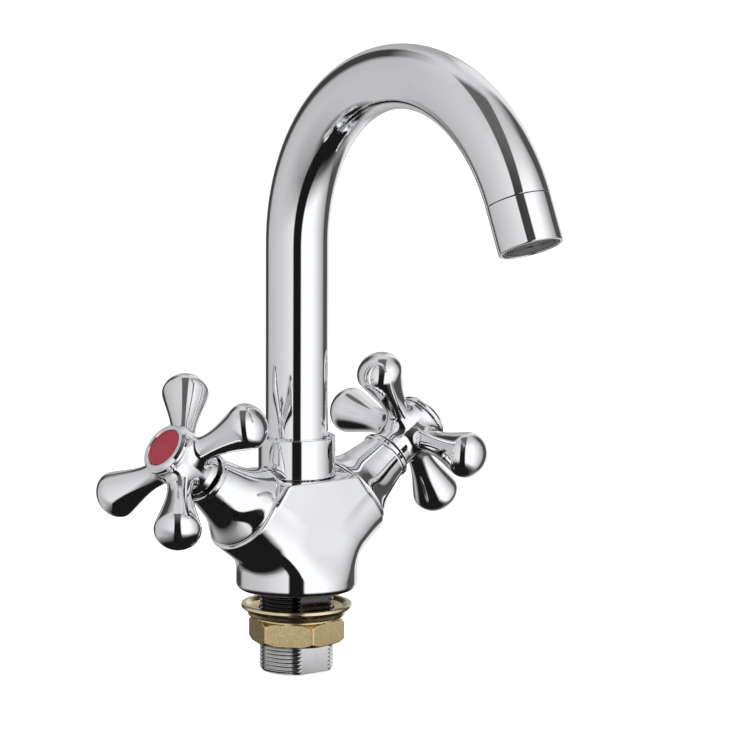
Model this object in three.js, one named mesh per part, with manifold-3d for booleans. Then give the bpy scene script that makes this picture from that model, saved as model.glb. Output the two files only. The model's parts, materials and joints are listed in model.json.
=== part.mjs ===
// Two-handle basin mixer faucet with a swivelling swan-neck spout.
//
// Millimetres, +Z up.  The origin is on the faucet's axis at the deck plane, which the underside of
// the body rests on.  The spout points to -Y, the hot valve leans to -X and the cold one to +X.
import * as THREE from 'three';
import { mergeVertices } from 'three/addons/utils/BufferGeometryUtils.js';
import Module from 'manifold-3d';

const wasm = await Module();
wasm.setup();

// ---- Driving dimensions -------------------------------------------------------------------------

const gap = 0.3;                 // clearance between neighbouring pieces
const edge = 0.4;                // small break on turned edges
const past = 1;                  // reach of a cutting shape past the face that it cuts
const largeSides = 24;           // sides of the big turned pieces
const sides = 18;                // sides of the middling ones
const smallSides = 12;           // sides of screws, spindles and rings

// Body
const bodyWall = 3;              // metal outside the seal's groove, at the round base
const bodyTop = 43.3;            // flat top that the collar stands on
const baseEdge = 1.6;            // rounding of the bottom edge
const flatFoot = 8;              // height where the front flat starts to run out into the base
const flatBlend = 27;            // radius of that run-out
const neckStep = 1;              // threaded neck inside the collar, beyond the tube
const neckHeight = 5.7;
const neckWall = 2.7;            // around the bore that the spout's foot turns in
const spoutBoreDepth = 16;       // below the body's top

// Valve arms
const armTilt = 35.7;            // rise of the arm axes above the horizontal, degrees
const armCross = 16;             // height where the two arm axes meet
const armStep = 1.2;             // round underside of each arm, beyond the bell sleeve
const bellToCollar = 0.32;       // from the bell sleeve's upper corner to the spout's collar
const valveBore = 10.5;
const valveDepth = 17;           // of the valve bore, from the arm's end face
const portRadius = 4.3;          // inlet passage
const inletSpacing = 13;         // between the two inlet passages
const inletDepth = 12;           // inlet passages, above the shank's socket

// Threaded shank and its fixings
const shankRadius = 14;
const shankWall = 3.5;
const shankLength = 31;          // below the deck plane
const shankGrip = 8;             // screwed into the body
const shankFlatDepth = 2.4;      // flat on the front
const deckGap = 5.6;             // from the deck plane down to the flange's rim
const flangeReach = 7;           // from the shank to the flange's rim
const flangeStep = 2.6;          // from its rim in to its foot
const flangeHeight = 4.5;
const flangeDish = 1.6;          // depth of its dished top
const flangeRim = 1.8;           // width of the flat rim around the dish
const nutWall = 2;               // from the shank to the nut's flats
const nutHeight = 9.8;
const nutTurn = 12.9;            // angle of a nut corner from +X, degrees
const nutBossHeight = 0.9;
const nutChamfer = 1.8;
const sealMargin = 2.2;          // from the shank to the rubber seal in the body's underside
const sealWidth = 3.8;
const sealDepth = 2;

// Spout
const tubeRadius = 12;
const tubeWall = 1.2;
const riserTop = 131;            // where the bend starts
const bendRadius = 67.4;         // to the tube's centre line
const bendSweep = 155.45;        // degrees
const tubeSides = 18;
const tubeSteps = 24;
const collarWall = 2.6;          // from the tube to the collar's outside
const collarHeight = 14.9;
const footClearance = 1.02;      // from the spout's foot to the valves beside it
const footFlange = 1;            // thickness of the flange that holds the spout down
const footPlug = 8;              // length brazed into the tube
const footWater = 6.6;           // water passage through the foot
const footThin = 1.6;            // wall of the foot's upper end
const ringSection = 2;           // O-rings in the foot and in the headworks
const grooveLift = 2.9;          // from the foot's lower end up to its first groove
const groovePitch = 5;
const slipRing = 1.4;            // thickness
const aeratorLength = 17.6;
const aeratorWall = 1;
const aeratorLip = 1.5;          // height of the lip that holds the insert
const aeratorLipWidth = 0.4;
const aeratorSpigot = 5;         // tube end turned down to screw into the housing
const insertHeight = 7;
const insertInset = 0.6;         // of the insert's face from the housing's end
const insertRings = [2, 4, 6, 8];  // inner radii of the slots in that face
const insertSlot = 0.9;          // their width
const insertSlotDepth = 2;
const washerHeight = 1.6;
const washerWidth = 2.4;

// Headwork (ceramic valve) along the arm
const headWall = 0.9;            // skirt around the discs
const headClamp = 2.7;           // flange clamped on the arm's end face
const headClampStep = 1.9;       // overlap of that flange on the end face
const headNeckRadius = 8.5;
const headLength = 20;           // beyond the arm's end face
const seatHeight = 2;
const discHeight = 3.2;
const discWindow = 5;            // width of the passages in the discs
const discRim = 1.5;             // of the discs around those passages
const driverHeight = 1.9;
const tangWidth = 2.4;
const tangDepth = 1.4;
const tangInset = 1;             // of the tang's slot from the disc's edge
const spindleRadius = 4;
const spindleReach = 0.4;        // beyond the handle's plane
const splineTeeth = 16;
const splineDepth = 0.35;
const splineWidth = 0.5;

// Bell-shaped sleeve along the arm
const bellWall = 4.2;            // from the headwork's flange to the bell's wide end
const bellEdge = 1.2;            // rounding of its wide edge
const bellLength = 23.3;         // from the arm's end face
const bellThin = 0.8;            // wall at the waist, the slimmest place, just below the lip
const bellLipStep = 0.3;
const bellLip = 1.6;
const bellFlare = 3.2;           // beyond the waist, a third of the way up
const bellRoof = 3;              // height of the cone over the headwork's flange

// Cross handle along the arm
const hubLift = 1.1;             // from the bell sleeve up to the hub
const hubFootRadius = 8.6;
const hubBand = 3;               // height of the bands at the hub's foot and under its arms
const hubInset = 0.3;            // of the hub's top from the cap's edge
const handleRise = 11.2;         // from the hub's foot up to the axes of the four arms
const handleReach = 38;          // tip of a handle arm from the valve's axis
const handleNeck = 4.6;          // slimmest radius of a handle arm
const handleNeckAt = 13.5;       // distance of that neck from the valve's axis
const handleRoot = 5;            // where an arm starts, inside the hub
const handleRootStep = 0.7;      // its radius there, beyond the neck's
const handleMiddle = 6;          // radius halfway from the neck to the bulb
const handleBulb = 8.2;          // widest radius of a handle arm
const handleBulbAt = 31.2;       // distance of that widest place
const hotTurn = 35.8;            // resting angles of the two handles, degrees
const coldTurn = -10.5;
const screwHeadRadius = 4.4;
const screwHeadHeight = 2.8;
const screwRadius = 2.4;
const screwLength = 9;
const screwSlot = 0.9;           // width of its cross recess
const webHeight = 2.2;           // web of the hub that the screw clamps
const hubLead = 1.6;             // lead-in of the hub's bore
const capRise = 10.4;            // from those axes up to the cap's front face
const capRim = 2.8;              // around the index disc
const capHeight = 2.6;
const capEdge = 0.8;
const capPlug = 3;               // length pressed into the hub
const capPlugWall = 0.7;
const indexRadius = 7.4;
const indexHeight = 1;

// ---- Sizes that follow from those ----------------------------------------------------------------

const radians = THREE.MathUtils.degToRad;
const tiltSin = Math.sin(radians(armTilt));
const tiltCos = Math.cos(radians(armTilt));

const shankBore = shankRadius - shankWall;
const shankFlat = shankRadius - shankFlatDepth;
const sealInner = shankRadius + sealMargin;
const sealOuter = sealInner + sealWidth;
const bodyRadius = sealOuter + bodyWall;
const flangeRadius = shankRadius + flangeReach;
const flangeFootRadius = flangeRadius - flangeStep;
const nutFlat = shankRadius + nutWall;

const neckRadius = tubeRadius + neckStep;
const spoutBore = neckRadius - neckWall;
const collarRadius = tubeRadius + collarWall;

const headRadius = valveBore - gap;
const headClampRadius = valveBore + headClampStep;
const bellRadius = headClampRadius + bellWall;
const bellWaist = headNeckRadius + gap + bellThin;
const bellTopRadius = bellWaist + bellLipStep;
const armRadius = bellRadius + armStep;
const bodyHalfDepth = armRadius;

// Along each arm from the crossing of their axes.
const armEnd = (collarRadius + bellToCollar + bellRadius * tiltSin) / tiltCos - gap;
const valveFloor = armEnd - valveDepth;
const headTop = armEnd + headLength;
const bellTop = armEnd + bellLength;
const hubStart = bellTop + hubLift;
const handlePlane = hubStart + handleRise;
const spindleTop = handlePlane + spindleReach;
const capFace = handlePlane + capRise;

const capRadius = indexRadius + capRim;
const hubTopRadius = capRadius - hubInset;
const capPlugRadius = screwHeadRadius + gap + capPlugWall;

// ---- Solids ------------------------------------------------------------------------------------

// A closed three.js geometry as a solid that can be joined and cut.
function solid(geometry) {
  geometry.deleteAttribute('normal');
  geometry.deleteAttribute('uv');
  const merged = mergeVertices(geometry, 1e-4);
  const corners = merged.index.array;
  const triVerts = [];
  for (let i = 0; i < corners.length; i += 3) {
    const [a, b, c] = corners.slice(i, i + 3);
    if (a !== b && b !== c && c !== a) triVerts.push(a, b, c);
  }
  return new wasm.Manifold(new wasm.Mesh({
    numProp: 3,
    vertProperties: merged.getAttribute('position').array,
    triVerts: new Uint32Array(triVerts),
  }));
}

// Profile of [radius, height] pairs, counter-clockwise, turned about Z.
function turned(profile, count = sides) {
  const points = [...profile, profile[0]].map(([r, z]) => new THREE.Vector2(r, z));
  return solid(new THREE.LatheGeometry(points, count).rotateX(Math.PI / 2));
}

function disc(radius, bottom, top, count = sides) {
  return turned([[0, bottom], [radius, bottom], [radius, top], [0, top]], count);
}

function ring(inner, outer, bottom, top, count = sides) {
  return turned([[inner, bottom], [outer, bottom], [outer, top], [inner, top]], count);
}

function oRing(inner, outer, height, count = sides) {
  const section = (outer - inner) / 2;
  const profile = [];
  for (let i = 0; i < 6; i += 1) {
    const angle = radians(60 * i);
    profile.push([inner + section + section * Math.cos(angle), height + section * Math.sin(angle)]);
  }
  return turned(profile, count);
}

function block(sizeX, sizeY, sizeZ, x = 0, y = 0, z = 0) {
  return solid(new THREE.BoxGeometry(sizeX, sizeY, sizeZ).translate(x, y, z));
}

// Points of an arc in a profile, from one angle to another in degrees.
function arc(r, z, radius, from, to, steps) {
  const points = [];
  for (let i = 0; i <= steps; i += 1) {
    const angle = radians(from + (to - from) * i / steps);
    points.push([r + radius * Math.cos(angle), z + radius * Math.sin(angle)]);
  }
  return points;
}

// Points of a smooth curve through a few profile points.
function smooth(points, steps) {
  const curve = new THREE.SplineCurve(points.map(([r, z]) => new THREE.Vector2(r, z)));
  return curve.getPoints(steps).map(({ x, y }) => [x, y]);
}

function placed(shape, matrix) {
  return shape.transform(matrix.elements);
}

function metal(colour, roughness) {
  return new THREE.MeshStandardMaterial({ color: colour, roughness, metalness: 1 });
}

function dull(colour, roughness) {
  return new THREE.MeshStandardMaterial({ color: colour, roughness, metalness: 0 });
}

const chrome = metal(0xd9dbde, 0.08);
const brass = metal(0xc9a253, 0.35);
const steel = metal(0xa9abad, 0.3);
const rubber = dull(0x1b1b1c, 0.8);
const plastic = dull(0x2a2b2d, 0.5);
const slipPlastic = dull(0xe8e6df, 0.4);
const ceramic = dull(0xf1f0ec, 0.2);
const red = dull(0xb3122e, 0.25);
const blue = dull(0x1d4fa8, 0.25);

function mesh(name, shape, material) {
  const { vertProperties, triVerts } = shape.getMesh();
  const geometry = new THREE.BufferGeometry();
  geometry.setAttribute('position', new THREE.BufferAttribute(vertProperties, 3));
  geometry.setIndex(new THREE.BufferAttribute(triVerts, 1));
  const piece = new THREE.Mesh(geometry, material.clone());
  piece.name = name;
  return piece;
}

// Frame of a valve: local Z runs out along the arm, local X points up the arm's end face.
function armFrame(side) {
  const along = new THREE.Vector3(side * tiltCos, 0, tiltSin);
  const upward = new THREE.Vector3(-side * tiltSin, 0, tiltCos);
  const across = new THREE.Vector3().crossVectors(along, upward);
  return new THREE.Matrix4().makeBasis(upward, across, along).setPosition(0, 0, armCross);
}

// ---- Body --------------------------------------------------------------------------------------

const bothSides = [-1, 1];
const socketTop = shankGrip + gap;
const inletTop = socketTop + inletDepth;

// Outline of the body seen from the front, above the arm axes.
function shoulderPlate() {
  const endX = armEnd * tiltCos;
  const endZ = armCross + armEnd * tiltSin;
  const cornerX = endX - (bodyTop - endZ) * tiltSin / tiltCos;
  const outline = new THREE.Shape([
    [0, armCross], [endX, endZ], [cornerX, bodyTop], [-cornerX, bodyTop], [-endX, endZ],
  ].map(([x, z]) => new THREE.Vector2(x, z)));
  const geometry = new THREE.ExtrudeGeometry(outline, { depth: 2 * bodyHalfDepth, bevelEnabled: false });
  return solid(geometry.rotateX(Math.PI / 2).translate(0, bodyHalfDepth, 0));
}

// What the front flat takes off the round base, with a rounded run-out at its foot.
function flatCut(side) {
  const far = 2 * bodyRadius;
  const start = flatFoot + Math.sqrt(flatBlend ** 2 - (flatBlend - bodyRadius + bodyHalfDepth) ** 2);
  const outline = new THREE.Shape();
  outline.moveTo(far, flatFoot);
  outline.lineTo(far, 2 * bodyTop);
  outline.lineTo(bodyHalfDepth, 2 * bodyTop);
  outline.lineTo(bodyHalfDepth, start);
  const centre = bodyHalfDepth + flatBlend;
  const steps = 6;
  const reach = Math.acos((centre - bodyRadius) / flatBlend);
  for (let i = 1; i <= steps; i += 1) {
    const angle = Math.PI + reach * i / steps;
    outline.lineTo(centre + flatBlend * Math.cos(angle), start + flatBlend * Math.sin(angle));
  }
  const geometry = new THREE.ExtrudeGeometry(outline, { depth: 4 * bodyRadius, bevelEnabled: false });
  return solid(geometry.rotateX(Math.PI / 2).translate(0, 2 * bodyRadius, 0)
    .rotateZ(side * Math.PI / 2));
}

function mixerBody() {
  const rounded = arc(bodyRadius - baseEdge, baseEdge, baseEdge, -90, 0, 3);
  const base = turned([[0, 0], ...rounded, [bodyRadius, armCross], ...arc(0, armCross, bodyRadius, 20,
      70, 4),
    [0, armCross + bodyRadius]], largeSides);
  let shape = base.subtract(flatCut(-1)).subtract(flatCut(1)).add(shoulderPlate());
  for (const side of bothSides) shape = shape.add(placed(disc(armRadius, 0, armEnd, largeSides),
      armFrame(side)));
  const room = block(6 * bodyRadius, 2 * bodyHalfDepth, 2 * bodyTop, 0, 0, armCross + bodyTop);
  const below = block(6 * bodyRadius, 6 * bodyRadius, bodyTop + armCross, 0, 0, (armCross - bodyTop) / 2);
  const lid = block(6 * bodyRadius, 6 * bodyRadius, bodyTop, 0, 0, 1.5 * bodyTop);
  shape = shape.intersect(room.add(below)).subtract(lid);
  shape = shape.add(ring(spoutBore, neckRadius, bodyTop - past, bodyTop + neckHeight, largeSides));
  shape = shape.subtract(disc(spoutBore, bodyTop - spoutBoreDepth, bodyTop + 2 * neckHeight, largeSides));
  shape = shape.subtract(disc(shankRadius + gap, -past, socketTop, largeSides));
  shape = shape.subtract(ring(sealInner - gap, sealOuter + gap, -past, sealDepth + gap, largeSides));
  for (const side of bothSides) {
    const bore = disc(valveBore, valveFloor, 2 * armEnd);
    const elbow = inletSpacing / 2 / tiltCos;
    const port = disc(portRadius, elbow, valveFloor + past, smallSides);
    const inlet = disc(portRadius, socketTop - past, inletTop,
        smallSides).translate(side * inletSpacing / 2, 0, 0);
    shape = shape.subtract(placed(bore.add(port), armFrame(side))).subtract(inlet);
  }
  return shape;
}

function threadedShank() {
  const pipe = ring(shankBore, shankRadius, -shankLength, shankGrip, largeSides);
  const depth = shankRadius;
  const flat = block(4 * shankRadius, depth, shankLength - gap, 0, -shankFlat - depth / 2,
    -(shankLength + gap) / 2);
  return pipe.subtract(flat.translate(0, 0, -gap));
}

const flangeTop = -deckGap;
const flangeBottom = flangeTop - flangeHeight;
const nutTop = flangeBottom - gap;
const holeRadius = shankRadius + gap;

function flangeWasher() {
  const dishRadius = flangeRadius - flangeRim;
  return turned([
    [holeRadius, flangeBottom], [flangeFootRadius, flangeBottom],
    [flangeRadius - edge, flangeTop - 3 * edge], [flangeRadius, flangeTop - 2 * edge],
    [flangeRadius, flangeTop - edge], [flangeRadius - edge, flangeTop],
    [dishRadius, flangeTop], [dishRadius - flangeDish, flangeTop - flangeDish], [holeRadius,
    flangeTop - flangeDish],
  ], largeSides);
}

function lockNut() {
  const corner = nutFlat / Math.cos(Math.PI / 6);
  const hexTop = nutTop - nutBossHeight;
  const bottom = nutTop - nutHeight;
  const hex = disc(corner, bottom, hexTop, 6).rotate(0, 0, nutTurn);
  const chamfered = turned([
    [0, bottom], [corner - nutChamfer, bottom], [corner + gap, bottom + nutChamfer + gap],
    [corner + gap, hexTop - nutChamfer - gap], [corner - nutChamfer, hexTop], [0, hexTop],
  ], largeSides);
  const boss = disc(nutFlat, hexTop - past, nutTop, largeSides);
  return hex.intersect(chamfered).add(boss).subtract(disc(holeRadius, bottom - past, nutTop + past,
      largeSides));
}

function baseSeal() {
  return ring(sealInner, sealOuter, 0, sealDepth, largeSides);
}

// ---- Spout -------------------------------------------------------------------------------------

const neckTop = bodyTop + neckHeight;
const flangeSeat = neckTop + gap;
const tubeFoot = flangeSeat + footFlange + gap;
const slipTop = tubeFoot + slipRing;
const collarFoot = bodyTop + gap;
const collarTop = collarFoot + collarHeight;
const tubeBore = tubeRadius - tubeWall;
const plugRadius = tubeBore - gap;

function spoutCollar() {
  const inner = tubeRadius + gap;
  const wide = neckRadius + gap;
  const step = slipTop + gap;
  return turned([
    [wide, collarFoot], [collarRadius, collarFoot], [collarRadius, collarTop - edge],
    [collarRadius - edge, collarTop], [inner, collarTop], [inner, step], [wide, step],
  ], largeSides);
}

function slipRingShape() {
  return ring(tubeRadius + gap, neckRadius, tubeFoot, slipTop, largeSides);
}

// Centre line of the spout from its foot to the end of the bend.
class SwanNeck extends THREE.Curve {
  getPoint(t, target = new THREE.Vector3()) {
    const riser = riserTop - tubeFoot;
    const run = t * (riser + bendRadius * radians(bendSweep));
    const turn = Math.max(0, run - riser) / bendRadius;
    const height = Math.min(run, riser) + tubeFoot + bendRadius * Math.sin(turn);
    return target.set(0, bendRadius * (Math.cos(turn) - 1), height);
  }
}

function tubeSection(radius) {
  const section = new THREE.Shape();
  for (let i = 0; i < tubeSides; i += 1) {
    const angle = 2 * Math.PI * i / tubeSides;
    const point = [radius * Math.cos(angle), radius * Math.sin(angle)];
    if (i === 0) section.moveTo(...point);
    else section.lineTo(...point);
  }
  section.closePath();
  return section;
}

// Frame of the outlet: local Z runs out of the spout from the end of the bend.
function outletFrame() {
  const turn = radians(bendSweep);
  const out = new THREE.Vector3(0, -Math.sin(turn), Math.cos(turn));
  const sideways = new THREE.Vector3(1, 0, 0);
  const across = new THREE.Vector3().crossVectors(out, sideways);
  return new THREE.Matrix4().makeBasis(sideways, across, out)
    .setPosition(0, bendRadius * (Math.cos(turn) - 1), riserTop + bendRadius * Math.sin(turn));
}

const spigotRadius = tubeRadius - aeratorWall - gap;

function spoutTube() {
  const section = tubeSection(tubeRadius);
  section.holes.push(tubeSection(tubeBore));
  const geometry = new THREE.ExtrudeGeometry(section, {
    steps: tubeSteps, bevelEnabled: false, extrudePath: new SwanNeck(),
  });
  const spigotBore = spigotRadius - tubeWall;
  const spigot = ring(spigotBore, spigotRadius, -tubeWall, aeratorSpigot, tubeSides);
  const shoulder = ring(spigotBore, tubeRadius - tubeWall / 6, -tubeWall, 0, tubeSides);
  return solid(geometry).add(placed(spigot.add(shoulder), outletFrame()));
}

function footGroove(height) {
  const half = ringSection / 2 + 0.2;
  return ring(spoutBore - gap - ringSection, spoutBore + past, height - half, height + half);
}

// Clear of the valves' upper corners.
const footBottom = armCross + (headRadius + footClearance + (spoutBore - gap) * tiltSin) / tiltCos;
const grooveHeights = [footBottom + grooveLift, footBottom + grooveLift + groovePitch];

function spoutFoot() {
  const foot = turned([
    [footWater, footBottom], [spoutBore - gap, footBottom], [spoutBore - gap, flangeSeat],
    [neckRadius, flangeSeat], [neckRadius, flangeSeat + footFlange], [plugRadius, flangeSeat + footFlange],
    [plugRadius, tubeFoot + footPlug], [plugRadius - footThin, tubeFoot + footPlug],
    [footWater, tubeFoot + footPlug - footThin],
  ]);
  return foot.subtract(footGroove(grooveHeights[0])).subtract(footGroove(grooveHeights[1]));
}

function footRing(height) {
  return oRing(spoutBore - ringSection, spoutBore - gap, height);
}

function aeratorHousing() {
  const inner = tubeRadius - aeratorWall;
  const lip = inner - aeratorLipWidth;
  return placed(turned([
    [inner, gap], [tubeRadius, gap], [tubeRadius, aeratorLength - edge], [tubeRadius - edge, aeratorLength],
    [lip, aeratorLength], [lip, aeratorLength - aeratorLip], [inner, aeratorLength - aeratorLip],
  ], largeSides), outletFrame());
}

const insertTop = aeratorLength - aeratorLip - gap;

// Flow straightener: a cup with concentric slots in its outer face.
function aeratorInsert() {
  const radius = spigotRadius;
  const nose = tubeRadius - aeratorWall - aeratorLipWidth - gap;
  const face = aeratorLength - insertInset;
  let shape = turned([
    [0, insertTop - insertHeight], [radius, insertTop - insertHeight], [radius, insertTop],
    [nose, insertTop], [nose, face], [0, face],
  ]);
  for (const slot of insertRings) {
    shape = shape.subtract(ring(slot, slot + insertSlot, face - insertSlotDepth, aeratorLength,
        smallSides));
  }
  return placed(shape, outletFrame());
}

function aeratorWasher() {
  const top = insertTop - insertHeight - gap;
  return placed(ring(spigotRadius - washerWidth, spigotRadius, top - washerHeight, top), outletFrame());
}

// ---- Valves, drawn with Z along the arm ----------------------------------------------------------

const discRadius = headRadius - headWall - gap;
const seatBottom = valveFloor + gap;
const fixedBottom = seatBottom + seatHeight + gap;
const movingBottom = fixedBottom + discHeight + gap;
const driverBottom = movingBottom + discHeight + gap;
const skirtTop = driverBottom + driverHeight + gap;
const clampBottom = armEnd + gap;
const grooveAt = (skirtTop + clampBottom) / 2;
const grooveBottom = headRadius - ringSection + 2 * gap;

function seatSeal() {
  return ring(portRadius + gap, discRadius, seatBottom, seatBottom + seatHeight);
}

function headwork() {
  const skirtInner = headRadius - headWall;
  const guide = spindleRadius + gap;
  const half = ringSection / 2;
  let shape = turned([
    [skirtInner, fixedBottom], [headRadius, fixedBottom], [headRadius, grooveAt - half], [grooveBottom,
    grooveAt - half],
    [grooveBottom, grooveAt + half], [headRadius, grooveAt + half], [headRadius, clampBottom],
    [headClampRadius, clampBottom], [headClampRadius, clampBottom + headClamp],
    [headNeckRadius, clampBottom + headClamp], [headNeckRadius, headTop], [guide, headTop],
    [guide, skirtTop], [skirtInner, skirtTop],
  ]);
  const window = block(4 * headRadius, discWindow, discHeight - past, 0, 0, movingBottom + discHeight / 2);
  return shape.subtract(window);
}

function discWindows(bottom) {
  const reach = discRadius - discRim;
  const wedge = disc(reach, bottom - past, bottom + discHeight + past, smallSides);
  const bar = block(discWindow / 2, 4 * reach, 4 * discHeight, 0, 0, bottom);
  return wedge.intersect(block(4 * reach, discWindow, 4 * discHeight, 0, 0, bottom)).subtract(bar);
}

function fixedDisc() {
  return disc(discRadius, fixedBottom, fixedBottom + discHeight).subtract(discWindows(fixedBottom));
}

// Closed, its windows stand across those of the fixed disc.
function movingDisc() {
  const shape = disc(discRadius, movingBottom, movingBottom + discHeight)
    .subtract(discWindows(movingBottom).rotate(0, 0, 90));
  const slotDepth = tangDepth + gap;
  const slot = block(2 * discRadius, tangWidth + 2 * gap, slotDepth, 0, 0,
    movingBottom + discHeight - slotDepth / 2);
  return shape.subtract(slot.intersect(disc(discRadius - tangInset, movingBottom, driverBottom)));
}

function spindle() {
  const stem = disc(spindleRadius, driverBottom, spindleTop, splineTeeth);
  const driver = disc(discRadius, driverBottom, driverBottom + driverHeight);
  const tang = block(2 * (discRadius - tangInset - 2 * gap), tangWidth, tangDepth + gap, 0, 0,
    driverBottom - (tangDepth - gap) / 2);
  let shape = stem.add(driver).add(tang);
  for (let i = 0; i < splineTeeth; i += 1) {
    const notch = block(splineDepth * 2, splineWidth, spindleTop, spindleRadius, 0,
      hubStart + past + spindleTop / 2);
    shape = shape.subtract(notch.rotate(0, 0, 360 * (i + 0.5) / splineTeeth));
  }
  return shape.subtract(disc(screwRadius + gap, spindleTop - screwLength, spindleTop + past, smallSides));
}

function headworkRing() {
  return oRing(grooveBottom + gap, headRadius, grooveAt);
}

function bellSleeve() {
  const foot = armEnd + gap;
  const inner = headNeckRadius + gap;
  const room = headClampRadius + 2 * gap;
  const roomTop = clampBottom + headClamp + gap;
  const flare = smooth([
    [bellRadius, foot + bellEdge], [bellWaist + bellFlare, armEnd + bellLength / 3],
    [bellWaist + bellFlare / 3, armEnd + bellLength * 2 / 3], [bellWaist, bellTop - bellLip - bellThin],
  ], 5);
  return turned([
    [room, foot], ...arc(bellRadius - bellEdge, foot + bellEdge, bellEdge, -90, -30, 2), ...flare,
    [bellTopRadius, bellTop - bellLip], [bellTopRadius, bellTop - edge], [bellTopRadius - edge, bellTop],
    [inner, bellTop], [inner, roomTop + bellRoof], [room, roomTop],
  ], largeSides);
}

// ---- Cross handle, drawn with Z along the arm ---------------------------------------------------

const webTop = spindleTop + gap + webHeight;
const headSeat = webTop + gap;
const capBack = capFace - capHeight;
const hubTop = capBack - gap;

function handleArm(angle) {
  const flare = smooth([
    [handleNeck + handleRootStep, handleRoot], [handleNeck, handleNeckAt],
    [handleMiddle, (handleNeckAt + handleBulbAt) / 2 + gap], [handleBulb, handleBulbAt],
  ], 5);
  const depth = handleReach - handleBulbAt;
  const dome = [1, 2].map((i) => {
    const turn = radians(32 * i);
    return [handleBulb * Math.cos(turn), handleBulbAt + depth * Math.sin(turn)];
  });
  const shape = turned([[0, handleRoot], ...flare, ...dome, [0, handleReach]], smallSides);
  return shape.rotate(0, 90, 0).translate(0, 0, handlePlane).rotate(0, 0, angle);
}

function crossHandle() {
  let shape = turned([
    [0, hubStart], [hubFootRadius - edge, hubStart], [hubFootRadius, hubStart + edge],
    [hubFootRadius - gap, hubStart + hubBand], [hubFootRadius + edge, handlePlane - hubBand],
    [hubTopRadius, hubTop - past], [hubTopRadius, hubTop], [0, hubTop],
  ]);
  for (let i = 0; i < 4; i += 1) shape = shape.add(handleArm(90 * i));
  const fit = spindleRadius + gap;
  const bore = turned([
    [0, hubStart - past], [fit + hubLead, hubStart - past], [fit + hubLead, hubStart + hubLead],
    [fit, hubStart + 2 * hubLead],
    [fit, spindleTop + gap], [screwRadius + gap, spindleTop + gap], [screwRadius + gap, webTop],
    [capPlugRadius + gap, webTop], [capPlugRadius + gap, capFace], [0, capFace],
  ], smallSides);
  return shape.subtract(bore);
}

function handleScrew() {
  const stem = headSeat - gap - (webHeight + screwLength - past);
  const top = headSeat + screwHeadHeight;
  const shape = turned([
    [0, stem], [screwRadius, stem], [screwRadius, headSeat], [screwHeadRadius, headSeat],
    [screwHeadRadius, top - edge], [screwHeadRadius - edge, top], [0, top],
  ], smallSides);
  const slot = screwHeadRadius;
  const depth = 2 * screwSlot;
  return shape.subtract(block(slot, screwSlot, depth, 0, 0, top))
    .subtract(block(screwSlot, slot, depth, 0, 0, top));
}

function capRing() {
  const seat = indexRadius + gap;
  const seatTop = capFace - indexHeight - gap;
  const plugBore = screwHeadRadius + gap;
  const plugFoot = capBack - capPlug + gap;
  return turned([
    [0, capBack], [plugBore, capBack], [plugBore, plugFoot], [capPlugRadius, plugFoot], [capPlugRadius,
    capBack],
    [capRadius - edge, capBack], [capRadius, capBack + edge],
    ...arc(capRadius - capEdge, capFace - capEdge, capEdge, 0, 90, 2),
    [seat + edge, capFace], [seat, capFace - edge], [seat, seatTop], [0, seatTop],
  ], largeSides);
}

function indexDisc() {
  const bottom = capFace - indexHeight;
  return turned([
    [0, bottom], [indexRadius, bottom], [indexRadius, capFace - edge], [indexRadius - edge, capFace],
    [0, capFace],
  ], largeSides);
}

// ---- Assembly ----------------------------------------------------------------------------------

const faucet = new THREE.Group();

faucet.add(
  mesh('mixer_body', mixerBody(), chrome),
  mesh('threaded_shank', threadedShank(), chrome),
  mesh('base_seal', baseSeal(), rubber),
  mesh('flange_washer', flangeWasher(), brass),
  mesh('lock_nut', lockNut(), brass),
  mesh('spout_collar', spoutCollar(), chrome),
  mesh('spout_slip_ring', slipRingShape(), slipPlastic),
  mesh('spout_tube', spoutTube(), chrome),
  mesh('spout_foot', spoutFoot(), brass),
  mesh('spout_ring_lower', footRing(grooveHeights[0]), rubber),
  mesh('spout_ring_upper', footRing(grooveHeights[1]), rubber),
  mesh('aerator_housing', aeratorHousing(), chrome),
  mesh('aerator_insert', aeratorInsert(), plastic),
  mesh('aerator_washer', aeratorWasher(), rubber),
);

function valve(label, side, turn, colour) {
  const group = new THREE.Group();
  group.applyMatrix4(armFrame(side));
  group.add(
    mesh(`seat_seal_${label}`, seatSeal(), rubber),
    mesh(`fixed_disc_${label}`, fixedDisc(), ceramic),
    mesh(`headwork_${label}`, headwork(), brass),
    mesh(`headwork_ring_${label}`, headworkRing(), rubber),
    mesh(`bell_sleeve_${label}`, bellSleeve(), chrome),
    mesh(`moving_disc_${label}`, movingDisc(), ceramic),
    mesh(`spindle_${label}`, spindle(), brass),
    mesh(`cross_handle_${label}`, crossHandle().rotate(0, 0, -side * turn), chrome),
    mesh(`handle_screw_${label}`, handleScrew(), steel),
    mesh(`cap_${label}`, capRing(), chrome),
    mesh(`index_disc_${label}`, indexDisc(), colour),
  );
  return group;
}

faucet.add(valve('hot', -1, hotTurn, red), valve('cold', 1, coldTurn, blue));

export default faucet;
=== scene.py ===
import json
import math

import bpy
import numpy as np
from mathutils import Matrix, Vector


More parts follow.
